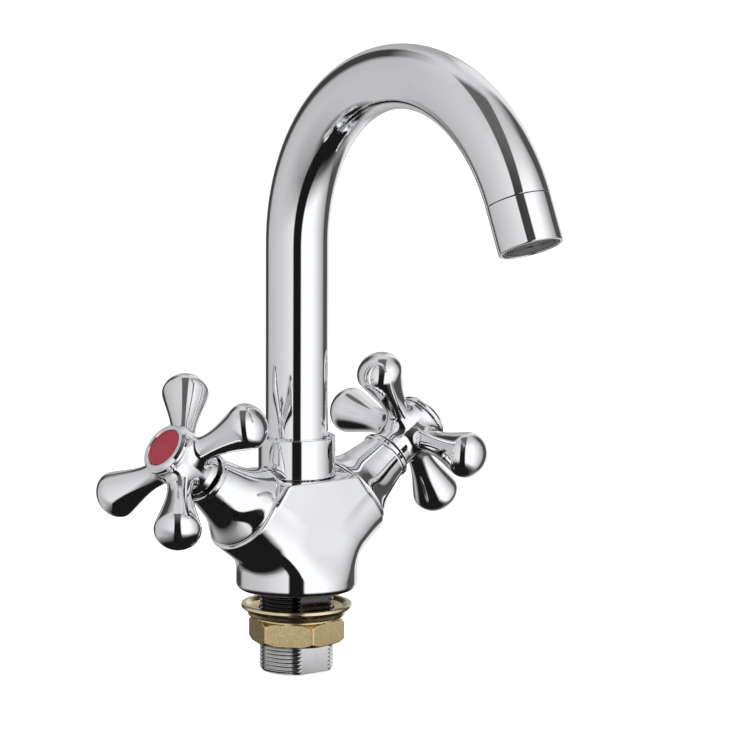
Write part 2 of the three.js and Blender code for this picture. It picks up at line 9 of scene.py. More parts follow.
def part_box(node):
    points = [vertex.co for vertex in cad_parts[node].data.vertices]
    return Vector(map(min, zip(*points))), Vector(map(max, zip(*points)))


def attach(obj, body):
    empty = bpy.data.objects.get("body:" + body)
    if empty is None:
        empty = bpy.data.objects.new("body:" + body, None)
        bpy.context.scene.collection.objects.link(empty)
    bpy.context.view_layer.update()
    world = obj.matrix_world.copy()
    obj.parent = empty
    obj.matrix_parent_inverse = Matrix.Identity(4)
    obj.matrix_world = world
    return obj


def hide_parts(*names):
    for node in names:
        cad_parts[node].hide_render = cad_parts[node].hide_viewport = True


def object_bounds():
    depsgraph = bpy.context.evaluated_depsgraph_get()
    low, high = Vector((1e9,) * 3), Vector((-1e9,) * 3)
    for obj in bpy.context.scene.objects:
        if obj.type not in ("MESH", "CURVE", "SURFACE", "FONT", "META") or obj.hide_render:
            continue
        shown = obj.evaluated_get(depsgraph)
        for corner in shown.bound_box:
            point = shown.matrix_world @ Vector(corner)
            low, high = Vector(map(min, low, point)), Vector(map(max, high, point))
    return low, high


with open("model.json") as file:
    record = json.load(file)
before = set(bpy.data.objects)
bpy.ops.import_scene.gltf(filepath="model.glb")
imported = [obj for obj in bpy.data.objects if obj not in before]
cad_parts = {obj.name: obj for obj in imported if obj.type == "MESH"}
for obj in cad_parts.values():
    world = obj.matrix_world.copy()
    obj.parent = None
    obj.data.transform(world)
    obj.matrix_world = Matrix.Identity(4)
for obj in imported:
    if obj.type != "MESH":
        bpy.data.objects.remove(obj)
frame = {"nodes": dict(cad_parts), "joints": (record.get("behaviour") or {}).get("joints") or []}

# Chrome basin mixer: cast pieces are meshed from distance fields, turned and bent pieces from their
# profiles.  All shapes are drawn in millimetres and scaled to metres when they become meshes.

cad_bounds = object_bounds()
scene = bpy.context.scene
MM = 0.001


def span(node):
    """Lowest and highest corner of a CAD node, in millimetres."""
    low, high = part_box(node)
    return np.array(low) / MM, np.array(high) / MM


# ---- Sizes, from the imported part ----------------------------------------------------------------

GAP = 0.3
joints = {joint["name"]: joint for joint in frame["joints"]}
BODY_R = span("mixer_body")[1][1]          # of the round base
COLLAR_LOW, COLLAR_HIGH = span("spout_collar")
TUBE_LOW, TUBE_HIGH = span("spout_tube")
SHANK_LOW, SHANK_HIGH = span("threaded_shank")
FLANGE_LOW, FLANGE_HIGH = span("flange_washer")
NUT_LOW, NUT_HIGH = span("lock_nut")
SEAL_HIGH = span("base_seal")[1]
BODY_TOP = COLLAR_LOW[2] - GAP
TUBE_R = TUBE_HIGH[0]
TUBE_FOOT = TUBE_LOW[2]
BEND_R = 67.4                              # to the tube's centre line
BEND = math.radians(155.45)
TUBE_WALL = 1.2
NECK_STEP = 1.0                            # threaded neck inside the collar, beyond the tube
NECK_HEIGHT = 5.7
SLIP_RING = 1.4                            # thickness
RING_GROOVE = 1.7                          # from an O-ring's outside to the core of its groove
RISER_TOP = TUBE_HIGH[2] - BEND_R - TUBE_R
ARM_CROSS = joints["hot_turn"]["pos_m"][2] / MM
TILT_COS, TILT_SIN = joints["cold_turn"]["axis"][0], joints["cold_turn"]["axis"][2]
ARM_END = 30.0                             # these lie along a valve's axis, from where the axes cross
BELL_TOP = ARM_END + 23.3
HUB_START = BELL_TOP + 1.1
HANDLE_PLANE = HUB_START + 11.2
CAP_FACE = HANDLE_PLANE + 10.4
CAP_DEPTH = 2.6
ARM_R = 17.8                               # also half the distance between the two facets
VALVE_R, VALVE_DEPTH = 10.5, 17.0
PORT_R, PORT_OFFSET = 4.3, 6.5             # inlet passages
SOCKET_R = SHANK_HIGH[0] + GAP
THREAD_PITCH = 1.5
NUT_WALL = 2.0                             # from the shank to the nut's flats
NUT_BOSS = 0.9
NUT_CHAMFER = 1.8
NUT_TURN = math.radians(12.9)
SEAL_WIDTH = 3.8
AERATOR_LENGTH, AERATOR_WALL = 17.6, 1.0
AERATOR_LIP = 1.5                          # height of the lip that holds the insert
HOT_TURN, COLD_TURN = 35.8, -10.5          # resting angles of the handles, degrees


# ---- Placing ------------------------------------------------------------------------------------

def arm_frame(side, turn=0.0):
    """Axes and origin of a valve: local Z runs out along its arm, local X up the arm's end face."""
    along = np.array([side * TILT_COS, 0, TILT_SIN])
    upward = np.array([-side * TILT_SIN, 0, TILT_COS])
    across = np.cross(along, upward)
    c, s = math.cos(turn), math.sin(turn)
    axes = np.array([c * upward + s * across, c * across - s * upward, along]).T
    return axes, np.array([0, 0, ARM_CROSS])


def straight(points, normals):
    return points, normals


def along_arm(side, turn=0.0):
    axes, origin = arm_frame(side, turn)
    return lambda points, normals: (points @ axes.T + origin, normals @ axes.T)


def along_spout(points, normals):
    """Bends a shape drawn along Z round the spout's centre line, from the tube's foot."""
    riser = RISER_TOP - TUBE_FOOT
    end = riser + BEND_R * BEND
    run = points[:, 2]
    angle = np.clip((run - riser) / BEND_R, 0, BEND)
    out = np.stack([0 * angle, -np.sin(angle), np.cos(angle)], 1)
    back = np.stack([0 * angle, np.cos(angle), np.sin(angle)], 1)
    spine = np.stack([0 * angle, BEND_R * (np.cos(angle) - 1), TUBE_FOOT + np.minimum(run, riser)
                      + BEND_R * np.sin(angle)], 1)
    spine += out * np.maximum(run - end, 0)[:, None]
    side = np.array([1.0, 0, 0])
    bent = spine + points[:, :1] * side + points[:, 1:2] * back
    return bent, normals[:, :1] * side + normals[:, 1:2] * back + normals[:, 2:] * out


SPOUT_END = RISER_TOP - TUBE_FOOT + BEND_R * BEND


# ---- Meshes -------------------------------------------------------------------------------------

def piece(name, points, faces, normals, body, node, slot, material):
    mesh = bpy.data.meshes.new(name)
    mesh.from_pydata((points * MM).tolist(), [], faces)
    mesh.polygons.foreach_set("use_smooth", [True] * len(mesh.polygons))
    lengths = np.maximum(np.linalg.norm(normals, axis=1), 1e-9)
    mesh.normals_split_custom_set_from_vertices((normals / lengths[:, None]).tolist())
    mesh.materials.append(material)
    obj = bpy.data.objects.new(name, mesh)
    scene.collection.objects.link(obj)
    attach(obj, body)
    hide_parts(node)
    return obj


def rounded(profile, closed, steps=5, hold=0.06):
    """Line through [radius, height, rounding] corners; each rounded corner is held on both sides."""
    count = len(profile)
    line = []
    for i, (r, z, rounding) in enumerate(profile):
        here = np.array([r, z], float)
        if rounding <= 0 or (not closed and i in (0, count - 1)):
            line.append(here)
            continue
        before = np.array(profile[i - 1][:2]) - here
        after = np.array(profile[(i + 1) % count][:2]) - here
        length = min(np.linalg.norm(before), np.linalg.norm(after))
        before, after = before / np.linalg.norm(before), after / np.linalg.norm(after)
        half = math.acos(np.clip(before @ after, -1, 1)) / 2
        reach = min(rounding / math.tan(half), 0.45 * length)
        radius = reach * math.tan(half)
        middle = before + after
        centre = here + middle / np.linalg.norm(middle) * radius / math.sin(half)
        spare = min(hold, 0.04 * length)
        line.append(here + before * (reach + spare))
        start, stop = here + before * reach - centre, here + after * reach - centre
        sweep = math.pi - 2 * half
        for k in range(steps + 1):
            t = k / steps
            mix = (math.sin((1 - t) * sweep) * start + math.sin(t * sweep) * stop) / math.sin(sweep)
            line.append(centre + mix)
        line.append(here + after * (reach + spare))
    return np.array(line)


def curve(knots, steps):
    """Points of a smooth curve through [radius, height] knots, without its two ends."""
    knots = np.array(knots, float)
    padded = np.vstack([2 * knots[0] - knots[1], knots, 2 * knots[-1] - knots[-2]])
    points = []
    for i in range(len(knots) - 1):
        a, b, c, d = padded[i:i + 4]
        for k in range(steps):
            t = k / steps
            points.append(0.5 * (2 * b + (c - a) * t + (2 * a - 5 * b + 4 * c - d) * t * t
                                 + (3 * b - a - 3 * c + d) * t ** 3))
    return [(r, z, 0) for r, z in points[1:]]


def revolve(line, closed, place, count=128):
    """Points, faces and normals of a profile line turned about Z, then placed."""
    step = np.diff(line, axis=0, append=line[:1])
    edge = np.stack([step[:, 1], -step[:, 0]], 1)
    edge /= np.maximum(np.linalg.norm(edge, axis=1), 1e-9)[:, None]
    if not closed:
        edge[-1] = edge[-2]
    before = np.roll(edge, 1, 0)
    if not closed:
        before[0] = edge[0]
    slope = before + edge
    angle = np.linspace(0, 2 * math.pi, count, endpoint=False)
    c, s = np.cos(angle), np.sin(angle)
    points, normals, rows, total = [], [], [], 0
    for (r, z), (nr, nz) in zip(line, slope):
        if r < 1e-6:
            points.append([[0, 0, z]])
            normals.append([[0, 0, math.copysign(1, nz)]])
            rows.append([total] * count)
            total += 1
        else:
            points.append(np.stack([r * c, r * s, 0 * c + z], 1))
            normals.append(np.stack([nr * c, nr * s, 0 * c + nz], 1))
            rows.append(list(range(total, total + count)))
            total += count
    faces = []
    pairs = list(zip(rows, rows[1:] + rows[:1] if closed else rows[1:]))
    for low, high in pairs:
        for k in range(count):
            m = (k + 1) % count
            corners = [low[k], low[m], high[m], high[k]]
            kept = [v for n, v in enumerate(corners) if v != corners[n - 1]]
            if len(kept) > 2:
                faces.append(kept)
    points, normals = place(np.vstack(points), np.vstack(normals))
    return points, faces, normals


def turned(name, profile, place, body, node, slot, material, closed=True, count=128, steps=5):
    line = rounded(profile, closed, steps)
    return piece(name, *revolve(line, closed, place, count), body, node, slot, material)


def shell(field, low, high, step):
    """Surface where a distance field is zero, as quads with exact normals."""
    axes = [np.arange(low[i] - step, high[i] + 2 * step, step) for i in range(3)]
    x, y, z = np.meshgrid(*axes, indexing="ij")
    value = field(x, y, z)
    inside = value < 0
    cells = tuple(n - 1 for n in value.shape)
    total = np.zeros(cells + (3,))
    hits = np.zeros(cells)
    for axis in range(3):
        others = [a for a in range(3) if a != axis]
        for p in (0, 1):
            for q in (0, 1):
                pick = [slice(0, n) for n in cells]
                pick[others[0]] = slice(p, p + cells[others[0]])
                pick[others[1]] = slice(q, q + cells[others[1]])
                near = tuple(pick)
                pick[axis] = slice(1, 1 + cells[axis])
                far = tuple(pick)
                cross = inside[near] != inside[far]
                share = np.where(cross, value[near] / np.where(cross, value[near] - value[far], 1), 0)
                total[..., axis] += share
                total[..., others[0]] += p * cross
                total[..., others[1]] += q * cross
                hits += cross
    used = hits > 0
    index = np.full(cells, -1)
    index[used] = np.arange(used.sum())
    corner = np.stack(np.nonzero(used), 1)
    points = np.array([axes[i][0] for i in range(3)]) + step * (corner + total[used] / hits[used][:, None])
    faces = []
    for axis in range(3):
        b, c = (axis + 1) % 3, (axis + 2) % 3
        pick = [slice(1, -1)] * 3
        pick[axis] = slice(0, -1)
        ahead = [slice(1, -1)] * 3
        ahead[axis] = slice(1, None)
        near, far = inside[tuple(pick)], inside[tuple(ahead)]
        at = np.stack(np.nonzero(near != far), 1)
        outward = near[tuple(at.T)]
        at = at + 1
        at[:, axis] -= 1
        back_b, back_c = np.eye(3, dtype=int)[b], np.eye(3, dtype=int)[c]
        ring = [index[tuple((at - o).T)] for o in (back_b + back_c, back_c, 0 * back_b, back_b)]
        quads = np.stack(ring, 1)
        quads[~outward] = quads[~outward][:, ::-1]
        faces.append(quads)
    faces = np.vstack(faces)
    nudge = 0.01

    def slope(p):
        return np.stack([(field(*(p + nudge * e).T) - field(*(p - nudge * e).T)) / (2 * nudge)
                         for e in np.eye(3)], 1)

    for _ in range(3):
        g = slope(points)
        shift = field(*points.T)[:, None] * g / np.maximum((g * g).sum(1), 0.2)[:, None]
        points = points - np.clip(shift, -step, step)
    return points, faces.tolist(), slope(points)


def smax(a, b, k):
    h = np.maximum(k - np.abs(a - b), 0) / k
    return np.maximum(a, b) + h * h * k / 4


def smin(a, b, k):
    return -smax(-a, -b, k)


# ---- Materials ----------------------------------------------------------------------------------

def finish_of(name, colour, metallic=0.0, rough=(0.3, 0.4), grain=900.0, bump=0.0, bump_scale=3000.0,
              stretch=(1, 1, 1), second=None, tint_scale=200.0, coat=0.0, specular=0.5, wave=0.0,
              wave_scale=70.0):
    """Shader with noise in its roughness, and where asked in its colour, fine relief and waviness."""
    material = bpy.data.materials.new(name)
    material.use_nodes = True
    nodes, links = material.node_tree.nodes, material.node_tree.links
    shader = nodes["Principled BSDF"]
    shader.inputs["Base Color"].default_value = (*colour, 1)
    shader.inputs["Metallic"].default_value = metallic
    shader.inputs["Specular IOR Level"].default_value = specular
    shader.inputs["Coat Weight"].default_value = coat
    shader.inputs["Coat Roughness"].default_value = 0.05
    coords = nodes.new("ShaderNodeTexCoord")
    place = nodes.new("ShaderNodeMapping")
    place.inputs["Scale"].default_value = stretch
    links.new(coords.outputs["Object"], place.inputs["Vector"])

    def noise(scale, detail):
        node = nodes.new("ShaderNodeTexNoise")
        node.inputs["Scale"].default_value = scale
        node.inputs["Detail"].default_value = detail
        links.new(place.outputs["Vector"], node.inputs["Vector"])
        return node.outputs["Fac"]

    spread = nodes.new("ShaderNodeMapRange")
    spread.inputs["From Min"].default_value = 0.3
    spread.inputs["From Max"].default_value = 0.7
    spread.inputs["To Min"].default_value = rough[0]
    spread.inputs["To Max"].default_value = rough[1]
    links.new(noise(grain, 6), spread.inputs["Value"])
    links.new(spread.outputs["Result"], shader.inputs["Roughness"])
    if second:
        tint = nodes.new("ShaderNodeValToRGB")
        tint.color_ramp.elements[0].position, tint.color_ramp.elements[1].position = 0.3, 0.7
        tint.color_ramp.elements[0].color = (*colour, 1)
        tint.color_ramp.elements[1].color = (*second, 1)
        links.new(noise(tint_scale, 4), tint.inputs["Fac"])
        links.new(tint.outputs["Color"], shader.inputs["Base Color"])
    relief = None
    for strength, scale, detail, depth in ((wave, wave_scale, 1, 0.0005), (bump, bump_scale, 5, 0.0001)):
        if strength:
            node = nodes.new("ShaderNodeBump")
            node.inputs["Strength"].default_value = strength
            node.inputs["Distance"].default_value = depth
            links.new(noise(scale, detail), node.inputs["Height"])
            if relief:
                links.new(relief, node.inputs["Normal"])
            relief = node.outputs["Normal"]
    if relief:
        links.new(relief, shader.inputs["Normal"])
    return material


def paint_shade_above(material, low, high, level):
    """Painted shade: multiplies the colour by a level that falls between two heights, in millimetres."""
    nodes, links = material.node_tree.nodes, material.node_tree.links
    shader = nodes["Principled BSDF"]
    coords = nodes.new("ShaderNodeTexCoord")
    parts = nodes.new("ShaderNodeSeparateXYZ")
    links.new(coords.outputs["Object"], parts.inputs["Vector"])
    fade = nodes.new("ShaderNodeMapRange")
    fade.inputs["From Min"].default_value = low * MM
    fade.inputs["From Max"].default_value = high * MM
    fade.inputs["To Max"].default_value = 1 - level
    links.new(parts.outputs["Z"], fade.inputs["Value"])
    blend = nodes.new("ShaderNodeMix")
    blend.data_type = "RGBA"
    links.new(fade.outputs["Result"], blend.inputs["Factor"])
    links.new(shader.inputs["Base Color"].links[0].from_socket, blend.inputs["A"])
    blend.inputs["B"].default_value = (0, 0, 0, 1)
    links.new(blend.outputs["Result"], shader.inputs["Base Color"])


chrome_tube = finish_of("chrome_drawn", (0.93, 0.935, 0.945), 1, (0.025, 0.055), 500, 0.03, 4000)
chrome_cast = finish_of("chrome_cast", (0.93, 0.935, 0.945), 1, (0.04, 0.08), 500, 0.03, 4000, wave=0.06,
                        wave_scale=50)
chrome_turned = finish_of("chrome_turned", (0.93, 0.935, 0.945), 1, (0.03, 0.06), 900, 0.03, 4000)
shank_metal = finish_of("shank_plating", (0.86, 0.86, 0.87), 1, (0.13, 0.2), 1500, 0.06, 5000,
                        second=(0.80, 0.80, 0.81), tint_scale=300)
paint_shade_above(shank_metal, -12, -9, 0.12)     # painted shade on the stretch between the body and the flange, where the threads lie in shadow
brass_turned = finish_of("brass_turned", (0.96, 0.82, 0.54), 1, (0.16, 0.26), 800, 0.08, 3000,
                         stretch=(1, 1, 6), second=(0.91, 0.76, 0.47))
brass_cast = finish_of("brass_cast", (1.0, 0.82, 0.46), 1, (0.24, 0.38), 1500, 0.3, 2600,
                       second=(0.93, 0.70, 0.35), tint_scale=500)
valve_brass = finish_of("valve_brass", (0.80, 0.62, 0.32), 1, (0.2, 0.34), 900, 0.2, 3000,
                        second=(0.70, 0.52, 0.25))
valve_nickel = finish_of("valve_nickel", (0.16, 0.155, 0.15), 1, (0.3, 0.42), 900, 0.2, 3000,
                         second=(0.11, 0.105, 0.1))
steel_metal = finish_of("steel_screw", (0.62, 0.62, 0.61), 1, (0.22, 0.36), 1200, 0.2, 5000,
                        second=(0.5, 0.5, 0.49))
rubber_black = finish_of("rubber_black", (0.02, 0.02, 0.021), 0, (0.6, 0.8), 1500, 0.4, 5000,
                         second=(0.035, 0.035, 0.036), tint_scale=500)
insert_plastic = finish_of("insert_plastic", (0.085, 0.087, 0.092), 0, (0.3, 0.45), 1200, 0.25, 5000,
                           second=(0.12, 0.12, 0.125), tint_scale=700)
slip_plastic = finish_of("slip_plastic", (0.75, 0.73, 0.68), 0, (0.35, 0.5), 900, 0.15, 4000,
                         second=(0.68, 0.66, 0.6))
ceramic_disc = finish_of("ceramic_disc", (0.84, 0.83, 0.80), 0, (0.08, 0.16), 900, 0.05, 5000,
                         second=(0.78, 0.77, 0.74))
red_enamel = finish_of("index_red", (0.42, 0.008, 0.036), 0, (0.22, 0.34), 700, 0.06, 2500,
                       second=(0.37, 0.006, 0.03), tint_scale=300, coat=0.5)
blue_enamel = finish_of("index_blue", (0.012, 0.075, 0.36), 0, (0.22, 0.34), 700, 0.12, 2500,
                        second=(0.009, 0.055, 0.27), tint_scale=300, coat=0.7)


# ---- Body casting -------------------------------------------------------------------------------

def body_field(x, y, z):
    """Round base and two valve arms, cut to flat facets that run out into the base, and hollowed."""
    facet_foot, facet_blend = 8.0, 27.0
    swell, swell_length = 2.4, 24.0
    shoulder, shoulder_height = 1.5, 5.0
    cheek_step, cheek_start = 1.2, 20.0
    rho = np.hypot(x, y)
    wide = np.abs(y)
    across = np.abs(x)
    s = across * TILT_COS + (z - ARM_CROSS) * TILT_SIN
    u = -across * TILT_SIN + (z - ARM_CROSS) * TILT_COS

    base = np.where(z > ARM_CROSS, np.hypot(rho, z - ARM_CROSS), rho) - BODY_R
    fade = np.clip((ARM_END - 1 - s) / swell_length, 0, 1)
    fuller = swell * fade * fade * (3 - 2 * fade)
    under = np.sqrt(u * u + np.maximum(wide - fuller, 0) ** 2 + np.minimum(s, 0) ** 2)
    over = wide - fuller - shoulder * np.clip(u / shoulder_height, 0, 1) ** 2
    arm = smax(np.where(u < 0, under, over) - ARM_R, s - ARM_END, 0.7)
    shape = smin(base, arm, 3.0)

    facet_start = facet_foot + math.sqrt(facet_blend ** 2 - (facet_blend - BODY_R + ARM_R) ** 2)
    run_out = facet_blend - np.hypot(wide - ARM_R - facet_blend, z - facet_start)
    shape = smax(shape, np.where(z < facet_start, run_out, wide - ARM_R), 3.0)
    shape = smax(shape, z - BODY_TOP, 0.8)
    shape = smax(shape, -z, 3.0)

    cheek = smax(np.hypot(u, y) - ARM_R + cheek_step, s - ARM_END, 0.7)
    cheek = np.maximum(cheek, np.maximum(COLLAR_HIGH[0] + GAP - rho, cheek_start - s))
    shape = smin(shape, cheek, 1.0)
    neck = np.maximum(rho - TUBE_R - NECK_STEP, np.maximum(z - BODY_TOP - NECK_HEIGHT, BODY_TOP - 3 - z))
    shape = np.minimum(shape, neck)

    bore = np.maximum(rho - (TUBE_R - RING_GROOVE), BODY_TOP - 16 - z)
    socket = np.maximum(rho - SOCKET_R, z - SHANK_HIGH[2] - GAP)
    groove_middle = SEAL_HIGH[0] - SEAL_WIDTH / 2
    groove = np.maximum(np.abs(rho - groove_middle) - SEAL_WIDTH / 2 - GAP, z - SEAL_HIGH[2] - GAP)
    valve = np.maximum(np.hypot(u, y) - VALVE_R, ARM_END - VALVE_DEPTH - s)
    port = np.maximum(np.hypot(across - PORT_OFFSET, y) - PORT_R, np.abs(z - 14) - 7)
    elbow = np.maximum(np.hypot(u, y) - PORT_R, np.maximum(8 - s, s - 15))
    for hollow in (bore, socket, groove, valve, port, elbow):
        shape = np.maximum(shape, -hollow)
    return shape


arm_reach = ARM_END * TILT_COS + ARM_R * TILT_SIN
points, faces, normals = shell(body_field, (-arm_reach, -BODY_R, 0),
                               (arm_reach, BODY_R, BODY_TOP + NECK_HEIGHT), 0.45)
piece("body_casting", points, faces, normals, "mixer", "mixer_body", "chrome", chrome_cast)


# ---- Shank, washer, nut and seal ----------------------------------------------------------------

def threaded_shank():
    """Thread ridges run round as one helix, and the front flat is cut through them."""
    radius, bore, depth, lead_in = SHANK_HIGH[0], 10.5, 0.85, 1.2
    flat = -SHANK_LOW[1] - 2.4
    low, high = SHANK_LOW[2], SHANK_HIGH[2]
    around, rows = 288, int((high - low) / 0.125)
    angle = np.linspace(0, 2 * math.pi, around, endpoint=False)[None, :]
    z = np.linspace(low, high, rows + 1)[:, None]
    phase = (z / THREAD_PITCH - angle / (2 * math.pi)) % 1
    ridge = 0.5 + 0.5 * np.cos(2 * math.pi * phase)
    lead = np.clip(np.minimum(z - low, high - z) / lead_in, 0, 1)
    outer = radius - depth * np.maximum(ridge, 1 - lead)
    facing = np.maximum(-np.sin(angle), 1e-3)
    cut = np.where((z < -GAP) & (facing > 0.5), flat / facing, 99)
    outer = np.minimum(outer, cut)
    ray = np.stack([np.cos(angle[0]), np.sin(angle[0]), 0 * angle[0]], 1)
    up = np.tile([0, 0, 1.0], (around, 1))
    grid = outer[..., None] * ray + z[..., None] * up[0]
    slope = np.cross(np.roll(grid, -1, 1) - np.roll(grid, 1, 1), np.gradient(grid, axis=0))
    ends = [(grid[-1], up), (bore * ray + high * up, up), (bore * ray + high * up, -ray),
            (bore * ray + low * up, -ray), (bore * ray + low * up, -up), (grid[0], -up)]
    points = np.vstack([*grid, *(p for p, _ in ends)])
    normals = np.vstack([*slope, *(n for _, n in ends)])
    k = np.arange(around)
    m = (k + 1) % around
    rings = [(r, r + 1) for r in range(rows)] + [(r, r + 1) for r in range(rows + 1, rows + 7, 2)]
    faces = np.vstack([np.stack([a + k, a + m, b + m, b + k], 1) for a, b in np.array(rings) * around])
    piece("shank_thread", points, faces.tolist(), normals, "mixer", "threaded_shank", "shank_plating",
          shank_metal)


threaded_shank()

rim, top, low = FLANGE_HIGH[0], FLANGE_HIGH[2], FLANGE_LOW[2]
turned("dished_washer", [
    (SOCKET_R, low, 0.2), (rim - 2.6, low, 0.5), (rim - 2.2, top - 2.6, 0.5), (rim - 0.5, top - 1.75, 0.3),
    (rim, top - 1.3, 0.45), (rim, top, 0.6), (rim - 1.8, top, 0.5), (rim - 3.4, top - 1.6, 0.6),
    (SOCKET_R, top - 1.6, 0.3),
], straight, "flange", "flange_washer", "brass", brass_turned, count=160)


nut_flat = SHANK_HIGH[0] + NUT_WALL
nut_corner = nut_flat / math.cos(math.pi / 6)


def nut_field(x, y, z):
    """Hexagon with chamfered corners, a round boss on top and a threaded hole."""
    hex_top = NUT_HIGH[2] - NUT_BOSS
    rho = np.hypot(x, y)
    shape = -99 + 0 * x
    for k in range(3):
        angle = NUT_TURN + math.radians(30 + 60 * k)
        shape = smax(shape, np.abs(x * math.cos(angle) + y * math.sin(angle)) - nut_flat, 0.5)
    for rise in (z - hex_top, NUT_LOW[2] - z):
        shape = smax(shape, (rho + 1.3 * rise - nut_corner + NUT_CHAMFER) * 0.61, 0.25)
        shape = smax(shape, rise, 0.3)
    boss = smax(rho - nut_flat, smax(z - NUT_HIGH[2], hex_top - 2 - z, 0.3), 0.5)
    shape = np.minimum(shape, boss)
    turn = (z / THREAD_PITCH - np.arctan2(y, x) / (2 * math.pi)) % 1
    thread = SOCKET_R + 0.55 * (1 - np.abs(turn - 0.5) * 2)
    return np.maximum(shape, (thread - rho) * 0.8)


points, faces, normals = shell(nut_field, (-nut_corner, -nut_corner, NUT_LOW[2]),
                               (nut_corner, nut_corner, NUT_HIGH[2]), 0.3)
piece("hex_nut", points, faces, normals, "lock_nut", "lock_nut", "brass", brass_cast)

turned("deck_seal", [
    (SEAL_HIGH[0] - SEAL_WIDTH, 0, 0.3), (SEAL_HIGH[0], 0, 0.3), (SEAL_HIGH[0], SEAL_HIGH[2], 0.3),
    (SEAL_HIGH[0] - SEAL_WIDTH, SEAL_HIGH[2], 0.3),
], straight, "mixer", "base_seal", "rubber", rubber_black)


# ---- Spout --------------------------------------------------------------------------------------

collar_r, collar_low, collar_top = COLLAR_HIGH[0], COLLAR_LOW[2], COLLAR_HIGH[2]
neck_r = TUBE_R + NECK_STEP
step_height = TUBE_FOOT + SLIP_RING + GAP
turned("collar_sleeve", [
    (neck_r + GAP, collar_low, 0.1), (collar_r, collar_low, 0.3), (collar_r, collar_top, 0.45),
    (TUBE_R + GAP, collar_top, 0.15), (TUBE_R + GAP, step_height, 0.1), (neck_r + GAP, step_height, 0.1),
], straight, "mixer", "spout_collar", "chrome", chrome_turned, count=160)

wall, riser = TUBE_R - TUBE_WALL, RISER_TOP - TUBE_FOOT
aerator_bore = TUBE_R - AERATOR_WALL
spigot = aerator_bore - GAP
bends = np.arange(riser, SPOUT_END - 0.8, 1.6)
turned("swan_neck", [
    (wall, 0, 0.2), (TUBE_R, 0, 0.2), *[(TUBE_R, s, 0) for s in (2, *bends)],
    (TUBE_R, SPOUT_END, 0.2), (spigot, SPOUT_END, 0.2), (spigot, SPOUT_END + 5, 0.2),
    (spigot - TUBE_WALL, SPOUT_END + 5, 0.1), (spigot - TUBE_WALL, SPOUT_END - 1.2, 0.1),
    (wall, SPOUT_END - 2.2, 0.2),
    *[(wall, s, 0) for s in (*(bends[::-1] - 2), 2)],
], along_spout, "spout", "spout_tube", "chrome", chrome_tube, count=144)

lip = aerator_bore - 0.4
mouth = SPOUT_END + AERATOR_LENGTH
turned("outlet_sleeve", [
    (aerator_bore, SPOUT_END + GAP, 0.1), (TUBE_R, SPOUT_END + GAP, 0.15), (TUBE_R, mouth, 0.4),
    (lip, mouth, 0.3), (lip, mouth - AERATOR_LIP, 0.1), (aerator_bore, mouth - AERATOR_LIP, 0.1),
], along_spout, "spout", "aerator_housing", "chrome", chrome_turned, count=144)


def flow_insert():
    """Cup with raised rings and ribs in its face, like the grid of a flow straightener."""
    face = mouth - 0.4
    back = mouth - AERATOR_LIP - GAP
    foot = back - 7
    floor_depth, ring_depth, ring_width, ring_pitch = 0.9, 0.25, 0.4, 0.9
    rib, rib_top, ribs, rib_end = 0.14, 0.08, 36, 9.4
    cup = lip - GAP
    profile = [(0, foot, 0), (spigot, foot, 0.3), (spigot, back, 0.2), (cup, back, 0.1), (cup, face, 0.15),
               (cup - 0.7, face, 0.1), (cup - 0.7, face - floor_depth, 0.1)]
    for r in np.arange(9.0, 0.9, -ring_pitch):
        profile += [(r, face - floor_depth, 0.08), (r, face - ring_depth, 0.1),
                    (r - ring_width, face - ring_depth, 0.1), (r - ring_width, face - floor_depth, 0.08)]
    profile.append((0, face - floor_depth, 0))
    points, faces, normals = revolve(rounded(profile, False, 3), False, straight, 96)
    section = [(-rib, -floor_depth), (rib, -floor_depth), (rib, -0.42), (rib_top, -0.36), (-rib_top, -0.36),
               (-rib, -0.42)]
    n = len(section)
    for k in range(ribs):
        angle = 2 * math.pi * (k + 0.5) / ribs
        near = 1.2 if k % 3 == 0 else 3.6
        c, s = math.cos(angle), math.sin(angle)
        start = len(points)
        ring = [(r * c - w * s, r * s + w * c, face + h) for r in (near, rib_end) for w, h in section]
        side = [(-s * np.sign(w), c * np.sign(w), 0.8 if h > -0.5 else 0.05) for w, h in section]
        points = np.vstack([points, ring])
        normals = np.vstack([normals, side, side])
        for i in range(n):
            after = (i + 1) % n
            faces.append([start + n + i, start + n + after, start + after, start + i])
        faces += [[start + i for i in range(n)], [start + n + i for i in reversed(range(n))]]
    points, normals = along_spout(points, normals)
    piece("flow_insert", points, faces, normals, "spout", "aerator_insert", "aerator_plastic", insert_plastic)


flow_insert()


def ring_of(name, inner_r, outer_r, height, place, body, node):
    """O-ring as a round section turned about its axis."""
    section = (outer_r - inner_r) / 2
    angle = np.linspace(0, 2 * math.pi, 24, endpoint=False)
    line = np.stack([inner_r + section + section * np.cos(angle), height + section * np.sin(angle)], 1)
    piece(name, *revolve(line, True, place, 96), body, node, "rubber", rubber_black)


foot_r = TUBE_R - RING_GROOVE - GAP
for label in ("lower", "upper"):
    low, high = span(f"spout_ring_{label}")
    ring_of(f"foot_ring_{label}", foot_r - RING_GROOVE, foot_r, (low[2] + high[2]) / 2, straight, "spout",
            f"spout_ring_{label}")
turned("slip_washer", [
    (TUBE_R + GAP, TUBE_FOOT, 0.15), (neck_r, TUBE_FOOT, 0.15), (neck_r, TUBE_FOOT + SLIP_RING, 0.15),
    (TUBE_R + GAP, TUBE_FOOT + SLIP_RING, 0.15),
], straight, "mixer", "spout_slip_ring", "slip_plastic", slip_plastic)


# ---- Cross handle -------------------------------------------------------------------------------

